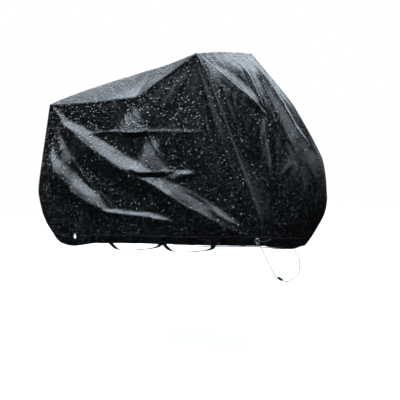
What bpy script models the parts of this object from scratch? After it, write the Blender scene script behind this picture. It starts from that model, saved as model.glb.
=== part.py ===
"""A fitted bicycle cover with a drawn hem, in the taut tent shape it has in use.

Three sewn panels make the tent: a near side, a far side, and one gusset that climbs the left end,
runs over the top and falls down the right end. The near hem carries two eyelets in reinforced
patches. Two webbing straps run under the cover from hem to hem, and a draw cord with a cord lock
hangs at the near right corner.

Metres, +Z up, +X to the right-hand end, -Y towards the near side. Heights in the tables are taken
from the lowest point of the hem. The model's origin is under the crown, where the cover is held.
"""

import math
from collections import namedtuple

import bmesh
import bpy
from mathutils import Matrix, Vector

# Driving sizes
SHEET = 0.002                 # coated cloth with its inner taping
SEAM_GAP = 0.0003             # air between two pieces that are sewn or fitted together
HELD_AT = Vector((0.44, 0.0, 1.176))    # underside of the crown, in the tables' coordinates
CASING = 0.055                # height of the hem casing
HEM_TUCK = 0.016              # how far the draw cord pulls the hem in under the sides
GATHER_PITCH = 0.21           # one ruffle of the gathered hem
GATHER_DEPTH = 0.005
END_ROWS = 20                 # faces up each end
TOP_ROWS = 36                 # faces along the top
GUSSET_COLUMNS = 8            # faces across the gusset
CASING_ROWS = 4               # rows of points that the drawn hem moves

PATCH_WIDTH = 0.052
PATCH_HEIGHT = 0.054
PATCH_MARGIN = 0.001          # from a patch's foot to the edge of the hem
PATCH_CORNER_R = 0.006
EYELET_HOLE_R = 0.010
EYELET_BARREL = 0.0012        # wall of the eyelet's tube
EYELET_FLANGE_R = 0.0195
EYELET_FLANGE = 0.0008        # thickness of each flange
STRAP_WIDTH = 0.038
STRAP_THICK = 0.0018
STRAP_BEHIND = SHEET / 2 + STRAP_THICK / 2 + 0.0009     # from the middle of the hem's cloth
STRAP_SEWN_AT = (0.040, 0.024, 0.008)                   # heights over the hem's edge
CORD_R = 0.0025
LOCK_R = 0.0085
STRAP_XS = (-0.286, 0.155)
HEM_CORD_FROM_X = 0.40
HEM_CORD_LAST_COLUMN = 7      # of the gusset's columns, where the cord goes back into the casing

# The eyelets in the near hem: where along it, and how high their centres are over its edge.
Eyelet = namedtuple("Eyelet", "name x rise")
EYELETS = [Eyelet("left", -0.573, 0.062), Eyelet("right", 0.847, PATCH_MARGIN + PATCH_HEIGHT / 2)]

# A belly strap's way from the near hem to the far one: the share of the way across, how far it has
# slanted to the right, and how far it hangs below its ends.
StrapPoint = namedtuple("StrapPoint", "name across slant drop")
STRAP_ROUTE = [
    StrapPoint("near hem", 0.000, 0.000, 0.000), StrapPoint("hanging", 0.034, 0.014, 0.024),
    StrapPoint("turn", 0.085, 0.026, 0.046), StrapPoint("under", 0.220, 0.030, 0.057),
    StrapPoint("middle", 0.500, 0.030, 0.060), StrapPoint("under far", 0.780, 0.030, 0.057),
    StrapPoint("turn far", 0.915, 0.026, 0.046), StrapPoint("hanging far", 0.966, 0.014, 0.024),
    StrapPoint("far hem", 1.000, 0.000, 0.000),
]

# The draw cord's loose end: out of the right eyelet, down to the lock, and back up to the hem of the
# right end; and its short tail, out of the same eyelet and round the corner.
TIE_DROP = [(0.8484, -0.2270, 0.1028), (0.8565, -0.2348, 0.0899), (0.8625, -0.2368, 0.0817),
            (0.8704, -0.2354, 0.0718), (0.8850, -0.2390, 0.0560), (0.8990, -0.2385, 0.0340),
            (0.9100, -0.2330, 0.0090), (0.9260, -0.2160, -0.0400), (0.9360, -0.1872, -0.0905),
            (0.9450, -0.1750, -0.0990)]
LOCK_END = (0.9620, -0.1520, -0.1150)
TIE_RETURN = [LOCK_END, (0.9700, -0.1400, -0.1220), (0.9680, -0.1080, -0.1240),
              (0.9610, -0.0700, -0.1180), (0.9390, 0.0000, -0.1140), (0.9190, 0.0560, -0.1060),
              (0.9080, 0.0900, -0.0700), (0.8920, 0.1120, -0.0300), (0.8720, 0.1190, -0.0010),
              (0.8568, 0.1220, 0.0190), (0.8538, 0.1220, 0.0352)]
TIE_TAIL = [(0.8574, -0.2264, 0.0995), (0.8588, -0.2372, 0.0956), (0.8660, -0.2399, 0.0952),
            (0.8779, -0.2402, 0.0960), (0.8960, -0.2430, 0.0960), (0.9070, -0.2360, 0.0980),
            (0.9075, -0.2160, 0.1020), (0.9045, -0.1950, 0.1070), (0.9035, -0.1780, 0.1100)]

# Sections of the gusset, from the left hem over the top to the right hem: the points where its
# near seam, its middle and its far seam run.
Section = namedtuple("Section", "name near middle far")
LEFT_END = [
    Section("left hem", (-0.905, -0.215, 0.148), (-0.935, 0.00, 0.095), (-0.890, 0.215, 0.120)),
    Section("low bulge", (-0.940, -0.222, 0.265), (-0.975, 0.00, 0.250), (-0.935, 0.225, 0.265)),
    Section("bulge", (-0.955, -0.225, 0.360), (-0.990, 0.00, 0.360), (-0.955, 0.228, 0.370)),
    Section("above bulge", (-0.915, -0.228, 0.550), (-0.960, 0.00, 0.600), (-0.925, 0.228, 0.620)),
    Section("left peak", (-0.811, -0.250, 0.906), (-0.850, -0.015, 0.975), (-0.830, 0.220, 1.055)),
]
TOP = [
    Section("left peak", (-0.811, -0.250, 0.906), (-0.850, -0.015, 0.975), (-0.830, 0.220, 1.055)),
    Section("left third", (-0.450, -0.252, 0.907), (-0.450, -0.010, 0.990), (-0.420, 0.228, 1.085)),
    Section("dip", (-0.110, -0.252, 0.917), (-0.090, -0.005, 1.010), (-0.040, 0.235, 1.112)),
    Section("dip end", (-0.030, -0.250, 0.926), (0.000, -0.003, 1.030), (0.060, 0.237, 1.125)),
    Section("rise", (0.175, -0.250, 1.025), (0.200, 0.000, 1.090), (0.240, 0.240, 1.155)),
    Section("crown", (0.424, -0.250, 1.153), (0.440, 0.000, 1.178), (0.448, 0.240, 1.186)),
]
RIGHT_END = [
    Section("crown", (0.424, -0.250, 1.153), (0.440, 0.000, 1.178), (0.448, 0.240, 1.186)),
    Section("crown slope", (0.500, -0.252, 1.050), (0.570, 0.000, 1.065), (0.548, 0.255, 1.075)),
    Section("point", (0.628, -0.255, 0.800), (0.705, 0.000, 0.806), (0.735, 0.275, 0.865)),
    Section("waist", (0.740, -0.256, 0.549), (0.790, 0.010, 0.550), (0.932, 0.280, 0.556)),
    Section("bulge", (0.850, -0.256, 0.319), (0.870, 0.010, 0.310), (0.967, 0.280, 0.330)),
    Section("low bulge", (0.897, -0.252, 0.205), (0.895, 0.010, 0.190), (0.950, 0.276, 0.226)),
    Section("right hem", (0.908, -0.238, 0.072), (0.884, 0.010, 0.044), (0.850, 0.245, 0.046)),
]

# The hem of each side, left to right.
NEAR_HEM = [(-0.905, -0.215, 0.148), (-0.860, -0.236, 0.110), (-0.800, -0.246, 0.056),
            (-0.725, -0.250, 0.014), (-0.610, -0.250, 0.000), (-0.400, -0.250, 0.028),
            (0.000, -0.250, 0.044), (0.400, -0.250, 0.054), (0.908, -0.238, 0.072)]
FAR_HEM = [(-0.890, 0.215, 0.120), (-0.800, 0.240, 0.050), (-0.640, 0.248, 0.012),
           (-0.300, 0.250, 0.030), (0.300, 0.250, 0.038), (0.850, 0.245, 0.046)]

# Folds of each face. A fold's line is drawn on the face: (x, height) on the sides and (y, height)
# on the right end. Its crest stands out by rise and fades over one width on the flank to the left
# of the line, which is its upper flank on the sides, and over another on the right flank.
Fold = namedtuple("Fold", "name line rise left_width right_width")
NEAR_FOLDS = [
    Fold("left peak to ledge", [(-0.80, 0.905), (-0.66, 0.765), (-0.42, 0.62), (-0.16, 0.495), (0.06, 0.425), (0.24, 0.34)],
         0.034, 0.090, 0.14),
    Fold("ledge to tie", [(-0.04, 0.455), (0.18, 0.37), (0.44, 0.245), (0.81, 0.112)], 0.017, 0.095, 0.13),
    Fold("upper pouch", [(-0.21, 0.716), (-0.12, 0.700), (0.03, 0.712)], 0.023, 0.160, 0.018),
    Fold("lower pouch", [(-0.07, 0.485), (0.04, 0.468), (0.19, 0.466)], 0.034, 0.230, 0.022),
    Fold("ledge", [(0.20, 0.438), (0.30, 0.446), (0.42, 0.466)], 0.011, 0.035, 0.03),
    Fold("left shoulder", [(-0.87, 0.50), (-0.74, 0.49), (-0.60, 0.53)], 0.034, 0.29, 0.25),
    Fold("left bulge", [(-0.79, 0.64), (-0.76, 0.55), (-0.70, 0.44), (-0.60, 0.36), (-0.42, 0.27), (-0.27, 0.215)],
         0.030, 0.115, 0.08),
    Fold("left bulge's tail", [(-0.36, 0.235), (-0.10, 0.205), (0.26, 0.185)], 0.010, 0.045, 0.05),
    Fold("crown to tie", [(0.43, 1.10), (0.50, 0.93), (0.60, 0.68), (0.73, 0.38)], 0.004, 0.040, 0.05),
    Fold("middle crown fold", [(0.41, 1.07), (0.42, 0.80), (0.46, 0.40)], 0.004, 0.050, 0.05),
    Fold("short crown fold", [(0.37, 1.07), (0.25, 0.93), (0.14, 0.82)], 0.003, 0.040, 0.05),
]
FAR_FOLDS = [
    Fold("left corner to hem", [(-0.80, 0.98), (-0.45, 0.70), (0.10, 0.40), (0.60, 0.20)], 0.030, 0.07, 0.15),
    Fold("crown to hem", [(0.42, 1.10), (0.20, 0.80), (0.05, 0.40)], 0.022, 0.10, 0.08),
    Fold("crown to right hem", [(0.50, 1.05), (0.66, 0.60), (0.76, 0.25)], 0.018, 0.08, 0.07),
    Fold("left bulge", [(-0.80, 0.66), (-0.66, 0.40), (-0.30, 0.22)], 0.024, 0.08, 0.12),
]
END_FOLDS = [
    Fold("edge of crown slope", [(-0.235, 1.14), (-0.20, 1.02), (-0.11, 0.925), (0.02, 0.805)], 0.022, 0.10, 0.04),
    Fold("point to hem", [(0.02, 0.83), (0.00, 0.70), (-0.03, 0.46)], 0.006, 0.045, 0.06),
    Fold("valley by the ridge", [(0.105, 1.16), (0.095, 1.00), (0.10, 0.85), (0.15, 0.60)], -0.008, 0.05, 0.045),
    Fold("far ridge", [(0.16, 1.17), (0.165, 0.92), (0.185, 0.73), (0.26, 0.56)], 0.017, 0.045, 0.065),
    Fold("waist crumple", [(0.08, 0.58), (0.17, 0.48), (0.22, 0.36)], 0.007, 0.05, 0.06),
    Fold("low crumple", [(-0.06, 0.24), (0.10, 0.18), (0.19, 0.16)], 0.007, 0.05, 0.06),
]


def smooth(t):
    t = max(0.0, min(1.0, t))
    return t * t * (3.0 - 2.0 * t)


def soft_curve(points):
    """Fine points along a curve through the given ones, with the distance run at each."""
    pts = [Vector(p) for p in points]
    ends = [2 * pts[0] - pts[1]] + pts + [2 * pts[-1] - pts[-2]]
    fine = []
    for a, b, c, d in zip(ends, ends[1:], ends[2:], ends[3:]):
        for step in range(24):
            t = step / 24.0
            bent = 0.5 * (2 * b + (c - a) * t + (2 * a - 5 * b + 4 * c - d) * t * t
                          + (3 * b - a - 3 * c + d) * t ** 3)
            fine.append(bent.lerp(b.lerp(c, t), 0.35))
    fine.append(pts[-1])
    run = [0.0]
    for a, b in zip(fine, fine[1:]):
        run.append(run[-1] + (b - a).length)
    return fine, run


def at_shares(points, shares):
    """Points at the given shares of the length of the soft curve through the given points."""
    fine, run = soft_curve(points)
    found = []
    for share in shares:
        goal = share * run[-1]
        k = min(sum(r <= goal for r in run) - 1, len(fine) - 2)
        found.append(fine[k].lerp(fine[k + 1], (goal - run[k]) / max(run[k + 1] - run[k], 1e-9)))
    return found


def rows_up(sections):
    """Shares of an end's height, with the lowest rows inside the hem casing."""
    length = soft_curve([s.near for s in sections])[1][-1]
    low = [step * CASING / length for step in (0.0, 0.45, 0.95, 1.35)]
    rest = END_ROWS + 1 - len(low)
    return low + [low[-1] + (1.0 - low[-1]) * (k + 1) / rest for k in range(rest)]


def fold_lift(folds, across, height):
    """How far the folds push a face out at a place on it. A fold is narrower and lower by its ends."""
    place = Vector((across, height))
    lift = 0.0
    for fold in folds:
        line = [Vector(p) for p in fold.line]
        whole = sum((q - p).length for p, q in zip(line, line[1:]))
        nearest = None
        walked = 0.0
        for p, q in zip(line, line[1:]):
            span = (q - p).length
            t = max(0.0, min(1.0, (place - p).dot(q - p) / span ** 2))
            away = place - p.lerp(q, t)
            if nearest is None or away.length < nearest[0]:
                left = (q - p).x * away.y - (q - p).y * away.x > 0
                nearest = (away.length, left, (walked + t * span) / whole)
            walked += span
        distance, left, share = nearest
        width = fold.left_width if left else fold.right_width
        swell = (0.12 + 0.88 * smooth(share / 0.35)) * (0.25 + 0.75 * smooth((1.0 - share) / 0.25))
        lift += fold.rise * swell * smooth(1.0 - distance / (width * swell))
    return lift


def gusset_grid():
    """Rows of points across the gusset, from the left hem over the top to the right hem."""
    parts = [
        (LEFT_END, rows_up(LEFT_END)),
        (TOP, [k / TOP_ROWS for k in range(TOP_ROWS + 1)]),
        (RIGHT_END, [1.0 - share for share in reversed(rows_up(RIGHT_END[::-1]))]),
    ]
    rows = []
    for sections, shares in parts:
        seams = [at_shares([getattr(s, place) for s in sections], shares) for place in ("near", "middle", "far")]
        for share, near, middle, far in list(zip(shares, *seams))[1 if rows else 0:]:
            row = []
            for column in range(GUSSET_COLUMNS + 1):
                v = column / GUSSET_COLUMNS
                point = near * (1 - v) * (1 - 2 * v) + middle * 4 * v * (1 - v) + far * v * (2 * v - 1)
                if sections is TOP:
                    point.z = near.lerp(far, v).z + crest_lift(share, v, near, far)
                elif sections is RIGHT_END:
                    edge = smooth(min(v, 1.0 - v) / 0.125)
                    point += Vector((0.92, 0.0, 0.39)) * fold_lift(END_FOLDS, point.y, point.z) * edge
                row.append(point)
            rows.append(row)
    return rows


def crest_lift(share, v, near, far):
    """The top's height over a flat strip: its crest runs from the far left corner to the near crown."""
    crest_v = 1.0 - share
    crest = Vector(TOP[0].far).lerp(Vector(TOP[-1].near), share)
    stand = max(crest.z - near.lerp(far, crest_v).z, 0.0)
    tent = min(v / max(crest_v, 1e-6), (1.0 - v) / max(1.0 - crest_v, 1e-6), 1.0)
    return stand * (1.04 - math.hypot(1.0 - tent, 0.08))


def side_grid(seam, hem, folds, outward):
    """A side panel's points: rows from hem to top, within its three seam edges and its hem."""
    left = seam[:END_ROWS + 1]
    top = seam[END_ROWS:END_ROWS + TOP_ROWS + 1]
    right = seam[END_ROWS + TOP_ROWS:][::-1]
    bottom = at_shares(hem, [k / TOP_ROWS for k in range(TOP_ROWS + 1)])
    rows = []
    for j, v in enumerate(rows_up(LEFT_END)):
        row = []
        for i in range(TOP_ROWS + 1):
            u = i / TOP_ROWS
            point = (bottom[i].lerp(top[i], v) + left[j].lerp(right[j], u)
                     - bottom[0].lerp(bottom[-1], u).lerp(top[0].lerp(top[-1], u), v))
            edge = smooth(min(u / 0.02, (1.0 - u) / 0.05)) * smooth(min(v / 0.10, (1.0 - v) / 0.03))
            point.y += outward * edge * fold_lift(folds, point.x, point.z)
            row.append(point)
        row[0], row[-1] = left[j], right[j]
        rows.append(row)
    rows[-1] = list(top)
    return rows


def tucked(point, foot):
    """A point of the hem pulled in under the cover, and ruffled, by the draw cord."""
    share = max(0.0, 1.0 - (point.z - foot) / (1.35 * CASING))
    middle = Vector((max(-0.62, min(0.62, point.x)), 0.0, point.z))
    inward = (middle - point).normalized()
    ruffle = GATHER_DEPTH * math.sin((point.x - point.y) * math.tau / GATHER_PITCH)
    return point + inward * (HEM_TUCK * share * share + ruffle * share)


def draw_hem(rows):
    """Draw in the lowest rows of a panel. Every panel uses the same rule, so its seams still meet."""
    feet = [point.z for point in rows[0]]
    for row in rows[:CASING_ROWS]:
        row[:] = [tucked(point, foot) for point, foot in zip(row, feet)]


def shared_normals(grids):
    """One normal for each place where points of the panels meet, so their walls mitre at a seam."""
    total = {}
    for grid, turn in grids:
        for low, high in zip(grid, grid[1:]):
            for a, b, c, d in zip(low, low[1:], high[1:], high):
                normal = (c - a).cross(d - b) * turn
                for corner in (a, b, c, d):
                    total[tuple(corner)] = total.get(tuple(corner), Vector()) + normal
    return {key: normal.normalized() for key, normal in total.items()}


def add_piece(name, build, material):
    mesh = bpy.data.meshes.new(name)
    bmesh.ops.recalc_face_normals(build, faces=build.faces)
    build.to_mesh(mesh)
    build.free()
    mesh.shade_smooth()
    mesh.set_sharp_from_angle(angle=math.radians(50))
    mesh.materials.append(material)
    piece = bpy.data.objects.new(name, mesh)
    bpy.context.scene.collection.objects.link(piece)
    return piece


def make_sheet(name, grid, normals, hems, material):
    """A closed sheet under a grid of outer points. Its sewn edges stop half a gap short of the seam."""
    last_j, last_i = len(grid) - 1, len(grid[0]) - 1
    outer, inner = [], []
    for j, row in enumerate(grid):
        for i, point in enumerate(row):
            normal = normals[tuple(point)]
            pull = Vector()
            if j == 0 and "first row" not in hems:
                pull += (grid[1][i] - point).normalized()
            if j == last_j and "last row" not in hems:
                pull += (grid[j - 1][i] - point).normalized()
            if i == 0:
                pull += (row[1] - point).normalized()
            if i == last_i:
                pull += (row[i - 1] - point).normalized()
            outer.append(point + pull * SEAM_GAP * 0.7)
            inner.append(outer[-1] - normal * SHEET)
    build = bmesh.new()
    top = [build.verts.new(p - HELD_AT) for p in outer]
    low = [build.verts.new(p - HELD_AT) for p in inner]
    wide = last_i + 1
    for j in range(last_j):
        for i in range(last_i):
            a, b, c, d = j * wide + i, j * wide + i + 1, (j + 1) * wide + i + 1, (j + 1) * wide + i
            for side in (top, low):
                build.faces.new((side[a], side[b], side[d]))
                build.faces.new((side[b], side[c], side[d]))
    rim = [i for i in range(last_i)] + [j * wide + last_i for j in range(last_j)]
    rim += [last_j * wide + i for i in range(last_i, 0, -1)] + [j * wide for j in range(last_j, 0, -1)]
    spots = [tuple(point) for row in grid for point in row]
    for a, b in zip(rim, rim[1:] + rim[:1]):
        # Both sheets at a seam split the rim along the same diagonal, so a twisted seam stays open.
        if spots[a] < spots[b]:
            corners = ((top[a], low[a], low[b]), (top[a], low[b], top[b]))
        else:
            corners = ((top[a], low[a], top[b]), (low[a], low[b], top[b]))
        for three in corners:
            build.faces.new(three)
    return add_piece(name, build, material)


def on_panel(panel, x, rise=0.0):
    """The point of a side panel at x along its hem and a distance up from the hem's edge."""
    i = max(k for k in range(TOP_ROWS) if panel[0][k].x <= x)
    share = (x - panel[0][i].x) / (panel[0][i + 1].x - panel[0][i].x)
    column = [row[i].lerp(row[i + 1], share) for row in panel]
    for low, high in zip(column, column[1:]):
        if rise <= (high - low).length:
            return low.lerp(high, rise / (high - low).length)
        rise -= (high - low).length


def panel_frame(panel, x, rise, half, side, across=None):
    """A frame in the middle of a side's cloth: its axes run along the hem, up, and out of the cover."""
    low, high = (on_panel(panel, x, rise + step) for step in (-half, half))
    left, right = (on_panel(panel, x + step, rise) for step in (-(across or half), across or half))
    up = (high - low).normalized()
    out = (right - left).cross(up).normalized() * side
    frame = Matrix((up.cross(out), up, out)).transposed().to_4x4()
    frame.translation = low.lerp(high, 0.5) - HELD_AT - out * SHEET / 2
    return frame


def finish(name, colour, roughness, metallic=0.0):
    material = bpy.data.materials.new(name)
    material.use_nodes = True
    shader = material.node_tree.nodes["Principled BSDF"]
    shader.inputs["Base Color"].default_value = (*colour, 1.0)
    shader.inputs["Roughness"].default_value = roughness
    shader.inputs["Metallic"].default_value = metallic
    return material


def cut_notch(panel_piece, eyelet, frame):
    """Cut the panel back a seam gap clear of a patch, down through the hem where the patch reaches it."""
    top = PATCH_HEIGHT / 2 + SEAM_GAP
    foot = -top if eyelet.rise - top > PATCH_MARGIN else -2 * top
    bpy.ops.mesh.primitive_cube_add(size=1.0)
    cutter = bpy.context.object
    cutter.name = "notch_" + eyelet.name
    place = Matrix.Translation((0.0, (top + foot) / 2, 0.0))
    cutter.matrix_world = frame @ place @ Matrix.Diagonal((PATCH_WIDTH + 2 * SEAM_GAP, top - foot, 0.06, 1.0))
    cutter.hide_render = True
    cutter.display_type = "WIRE"
    cut = panel_piece.modifiers.new("notch", "BOOLEAN")
    cut.object = cutter
    cut.operation = "DIFFERENCE"


def lathe_between(build, rings):
    """Faces between closed rings of points, the last joined to the first."""
    for ring, after in zip(rings, rings[1:] + rings[:1]):
        for a in range(len(ring)):
            b = (a + 1) % len(ring)
            build.faces.new((ring[a], after[a], after[b], ring[b]))


def make_patch(name, frame, material):
    """A square of doubled cloth with cut corners and the eyelet's hole."""
    hole_r = EYELET_HOLE_R + EYELET_BARREL + SEAM_GAP
    half_w, half_h = PATCH_WIDTH / 2, PATCH_HEIGHT / 2
    steps = 32
    build = bmesh.new()
    sections = []
    for k in range(steps):
        turn = math.tau * k / steps
        c, s = math.cos(turn), math.sin(turn)
        reach = min(half_w / max(abs(c), 1e-9), half_h / max(abs(s), 1e-9),
                    (half_w + half_h - PATCH_CORNER_R) / (abs(c) + abs(s)))
        sections.append([build.verts.new(frame @ Vector((c * r, s * r, z))) for r, z in (
            (hole_r, -SHEET / 2), (reach, -SHEET / 2), (reach, SHEET / 2), (hole_r, SHEET / 2))])
    lathe_between(build, sections)
    return add_piece(name, build, material)


def make_eyelet(name, frame, material):
    """A turned metal eyelet: a tube with a flange on each face of the patch."""
    stand = SHEET / 2 + SEAM_GAP
    tube_r = EYELET_HOLE_R + EYELET_BARREL
    profile = [(EYELET_HOLE_R, -stand - EYELET_FLANGE), (EYELET_FLANGE_R, -stand - EYELET_FLANGE),
               (EYELET_FLANGE_R, -stand), (tube_r, -stand), (tube_r, stand), (EYELET_FLANGE_R, stand),
               (EYELET_FLANGE_R, stand + EYELET_FLANGE), (EYELET_HOLE_R, stand + EYELET_FLANGE)]
    steps = 24
    build = bmesh.new()
    turns = [math.tau * k / steps for k in range(steps)]
    lathe_between(build, [[build.verts.new(frame @ Vector((r * math.cos(t), r * math.sin(t), z)))
                           for r, z in profile] for t in turns])
    return add_piece(name, build, material)


def strap_end(panel, x, side):
    """Where a strap's end is sewn behind a hem: its centres and the way its width runs, from the top."""
    places = []
    for rise in STRAP_SEWN_AT:
        frame = panel_frame(panel, x, rise, 0.005, side, STRAP_WIDTH / 2)
        to_frame = frame.inverted()
        cloth = min((to_frame @ (on_panel(panel, x + STRAP_WIDTH * share, rise) - HELD_AT)).z
                    for share in (-0.54, -0.36, -0.18, 0.0, 0.18, 0.36, 0.54)) - SHEET / 2
        places.append((frame @ Vector((0.0, 0.0, cloth - STRAP_BEHIND)), frame.col[0].xyz * side))
    return places


def make_strap(name, x, near, far, material):
    """Webbing that runs from behind the near hem, slack under the cover, to behind the far hem."""
    path = strap_end(near, x, 1.0)
    start, goal = path[-1][0], strap_end(far, x, -1.0)[-1][0]
    route = [start.lerp(goal, p.across) + Vector((p.slant, 0.0, -p.drop)) for p in STRAP_ROUTE]
    steps = 26
    for point in at_shares(route, [k / steps for k in range(1, steps)]):
        path.append((point, Vector((1.0, 0.0, 0.0))))
    path += reversed(strap_end(far, x, -1.0))
    build = bmesh.new()
    rings = []
    for k, (centre, along) in enumerate(path):
        ahead = path[min(k + 1, len(path) - 1)][0] - path[max(k - 1, 0)][0]
        side = along * STRAP_WIDTH / 2
        thick = along.cross(ahead).normalized() * STRAP_THICK / 2
        rings.append([build.verts.new(centre + a * side + b * thick)
                      for a, b in ((-1, -1), (1, -1), (1, 1), (-1, 1))])
    for ring, after in zip(rings, rings[1:]):
        for a in range(4):
            b = (a + 1) % 4
            build.faces.new((ring[a], ring[b], after[b], after[a]))
    build.faces.new(rings[0])
    build.faces.new(rings[-1])
    return add_piece(name, build, material)


def make_cord(name, points, material):
    """A round cord along a poly spline, in the tables' coordinates."""
    curve = bpy.data.curves.new(name, "CURVE")
    curve.dimensions = "3D"
    curve.bevel_depth = CORD_R
    curve.bevel_resolution = 2
    curve.use_fill_caps = True
    spline = curve.splines.new("POLY")
    spline.points.add(len(points) - 1)
    for knot, point in zip(spline.points, points):
        knot.co = (*(point - HELD_AT), 1.0)
    curve.materials.append(material)
    piece = bpy.data.objects.new(name, curve)
    bpy.context.scene.collection.objects.link(piece)
    return piece


def even_cord(route):
    """Points two and a half diameters apart along a route."""
    length = soft_curve(route)[1][-1]
    count = max(4, round(length / (5 * CORD_R)))
    return at_shares(route, [k / count for k in range(count + 1)])


def make_hem_cord(near, gusset, material):
    """The draw cord where it shows, along the edge of the hem from the near side round the corner."""
    edge = [(p, near[1][i]) for i, p in enumerate(near[0]) if p.x > HEM_CORD_FROM_X][:-1]
    edge += [(p, gusset[-2][i]) for i, p in enumerate(gusset[-1][:HEM_CORD_LAST_COLUMN + 1])][1:]
    points = []
    for low, above in edge:
        inward = Vector((0.0, 0.0, low.z)) - low
        inward = (inward - (above - low) * inward.dot(above - low) / (above - low).length_squared).normalized()
        points.append(low + inward * SHEET / 2 - Vector((0.0, 0.0, CORD_R + 4 * SEAM_GAP)))
    return make_cord("hem_cord", points, material)


def make_lock(name, start, end, material):
    """A barrel cord lock with a waist, turned about the line from start to end."""
    axis = (end - start).normalized()
    side = axis.orthogonal().normalized()
    other = axis.cross(side)
    length = (end - start).length - 4 * SEAM_GAP
    profile = [(0.75, 0.0), (1.0, 0.12), (1.0, 0.38), (0.80, 0.50), (1.0, 0.62), (1.0, 0.88), (0.75, 1.0)]
    steps = 16
    build = bmesh.new()
    rings = []
    for share_r, share in profile:
        centre = start + axis * (2 * SEAM_GAP + length * share) - HELD_AT
        turns = [math.tau * k / steps for k in range(steps)]
        rings.append([build.verts.new(centre + LOCK_R * share_r * (side * math.cos(t) + other * math.sin(t)))
                      for t in turns])
    for ring, after in zip(rings, rings[1:]):
        for a in range(steps):
            b = (a + 1) % steps
            build.faces.new((ring[a], ring[b], after[b], after[a]))
    build.faces.new(rings[0])
    build.faces.new(rings[-1])
    return add_piece(name, build, material)


def make_panels(cloth):
    gusset = gusset_grid()
    near = side_grid([row[0] for row in gusset], NEAR_HEM, NEAR_FOLDS, -1.0)
    far = side_grid([row[-1] for row in gusset], FAR_HEM, FAR_FOLDS, 1.0)
    for rows in (near, far, gusset, gusset[::-1]):
        draw_hem(rows)
    normals = shared_normals([(gusset, -1.0), (near, 1.0), (far, -1.0)])
    make_sheet("top_gusset", gusset, normals, ("first row", "last row"), cloth)
    near_piece = make_sheet("near_side_panel", near, normals, ("first row",), cloth)
    make_sheet("far_side_panel", far, normals, ("first row",), cloth)
    return near, far, gusset, near_piece


def main():
    for old in list(bpy.data.objects):
        bpy.data.objects.remove(old)
    cloth = finish("coated cloth", (0.012, 0.013, 0.014), 0.38)
    webbing = finish("webbing", (0.010, 0.010, 0.011), 0.75)
    steel = finish("nickel plate", (0.62, 0.63, 0.65), 0.28, 1.0)
    cord = finish("braided cord", (0.020, 0.020, 0.021), 0.60)
    plastic = finish("moulded plastic", (0.030, 0.030, 0.032), 0.35)
    near, far, gusset, near_piece = make_panels(cloth)
    for eyelet in EYELETS:
        frame = panel_frame(near, eyelet.x, eyelet.rise, PATCH_HEIGHT / 2, 1.0)
        cut_notch(near_piece, eyelet, frame)
        make_patch("eyelet_patch_" + eyelet.name, frame, cloth)
        make_eyelet("eyelet_" + eyelet.name, frame, steel)
    for side, x in zip(("left", "right"), STRAP_XS):
        make_strap("belly_strap_" + side, x, near, far, webbing)
    make_hem_cord(near, gusset, cord)
    make_cord("tie_cord", even_cord(TIE_DROP), cord)
    make_lock("cord_lock", Vector(TIE_DROP[-1]), Vector(LOCK_END), plastic)
    make_cord("tie_return", even_cord(TIE_RETURN), cord)
    make_cord("tie_tail", even_cord(TIE_TAIL), cord)


main()
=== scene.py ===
import math
from collections import namedtuple

import bpy
import numpy as np
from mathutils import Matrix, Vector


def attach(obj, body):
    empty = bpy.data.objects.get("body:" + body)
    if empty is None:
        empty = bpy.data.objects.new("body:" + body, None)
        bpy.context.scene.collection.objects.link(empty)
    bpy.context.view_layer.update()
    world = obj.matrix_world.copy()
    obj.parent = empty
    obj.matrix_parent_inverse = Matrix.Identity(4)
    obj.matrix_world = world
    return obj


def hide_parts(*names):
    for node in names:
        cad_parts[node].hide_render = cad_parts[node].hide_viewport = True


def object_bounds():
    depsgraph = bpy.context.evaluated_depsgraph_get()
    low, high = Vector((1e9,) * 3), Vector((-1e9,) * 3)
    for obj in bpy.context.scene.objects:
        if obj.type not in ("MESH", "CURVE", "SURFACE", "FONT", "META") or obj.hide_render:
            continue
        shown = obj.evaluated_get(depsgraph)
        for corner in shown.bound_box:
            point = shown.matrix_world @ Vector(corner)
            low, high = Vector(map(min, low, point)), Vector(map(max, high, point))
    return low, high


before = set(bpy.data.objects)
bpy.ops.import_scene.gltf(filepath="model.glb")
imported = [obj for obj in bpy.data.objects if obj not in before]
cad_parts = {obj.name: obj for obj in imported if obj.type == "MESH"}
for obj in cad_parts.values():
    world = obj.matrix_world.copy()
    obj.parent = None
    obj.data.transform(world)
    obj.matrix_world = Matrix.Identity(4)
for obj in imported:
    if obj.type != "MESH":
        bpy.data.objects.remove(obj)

# A fitted bicycle cover of wet black coated cloth. The tables below are in the pattern's own
# coordinates, with heights from the lowest point of the hem; HELD_AT takes them to the model's.
cad_box = [[float(c) for c in corner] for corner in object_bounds()]
HELD_AT = np.array((0.44, 0.0, 1.176))

SHEET = 0.0016                # the cloth's thickness
SEAM_GAP = 0.0003
EDGE_BACK = 0.7               # share of the seam gap that each panel's edge stands back
CASING = 0.055                # height of the hem casing
DRAWN = 1.35 * CASING         # height of the cloth that the draw cord pulls in
HEM_TUCK = 0.016
HEM_CORE = 0.62               # half the length of the middle line that the hem is drawn towards
GATHER_PITCH = 0.21
GATHER_DEPTH = 0.005
CORD_R = 0.0025
CORD_STEP = 0.005             # distance between the rings of a cord
CORD_SIDES = 12
CORD_END = 0.55               # a cord's last rings are this share as wide
LOCK_CLEAR = 0.0004           # gap round the cord in its lock
THREAD_UP = 0.0003            # from the cloth to the middle of a stitch
LOCK_SIDES = 32
EYELET_SIDES = 48
PUNCH_R, PUNCH_REACH, PUNCH_SIDES = 0.0112, 0.02, 32
PATCH_STEPS = 96
PATCH_HALF_W, PATCH_HALF_H, PATCH_CORNER = 0.0255, 0.0265, 0.006
PATCH_STITCH = 0.84           # share of the way out to a patch's edge where it is sewn

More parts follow.
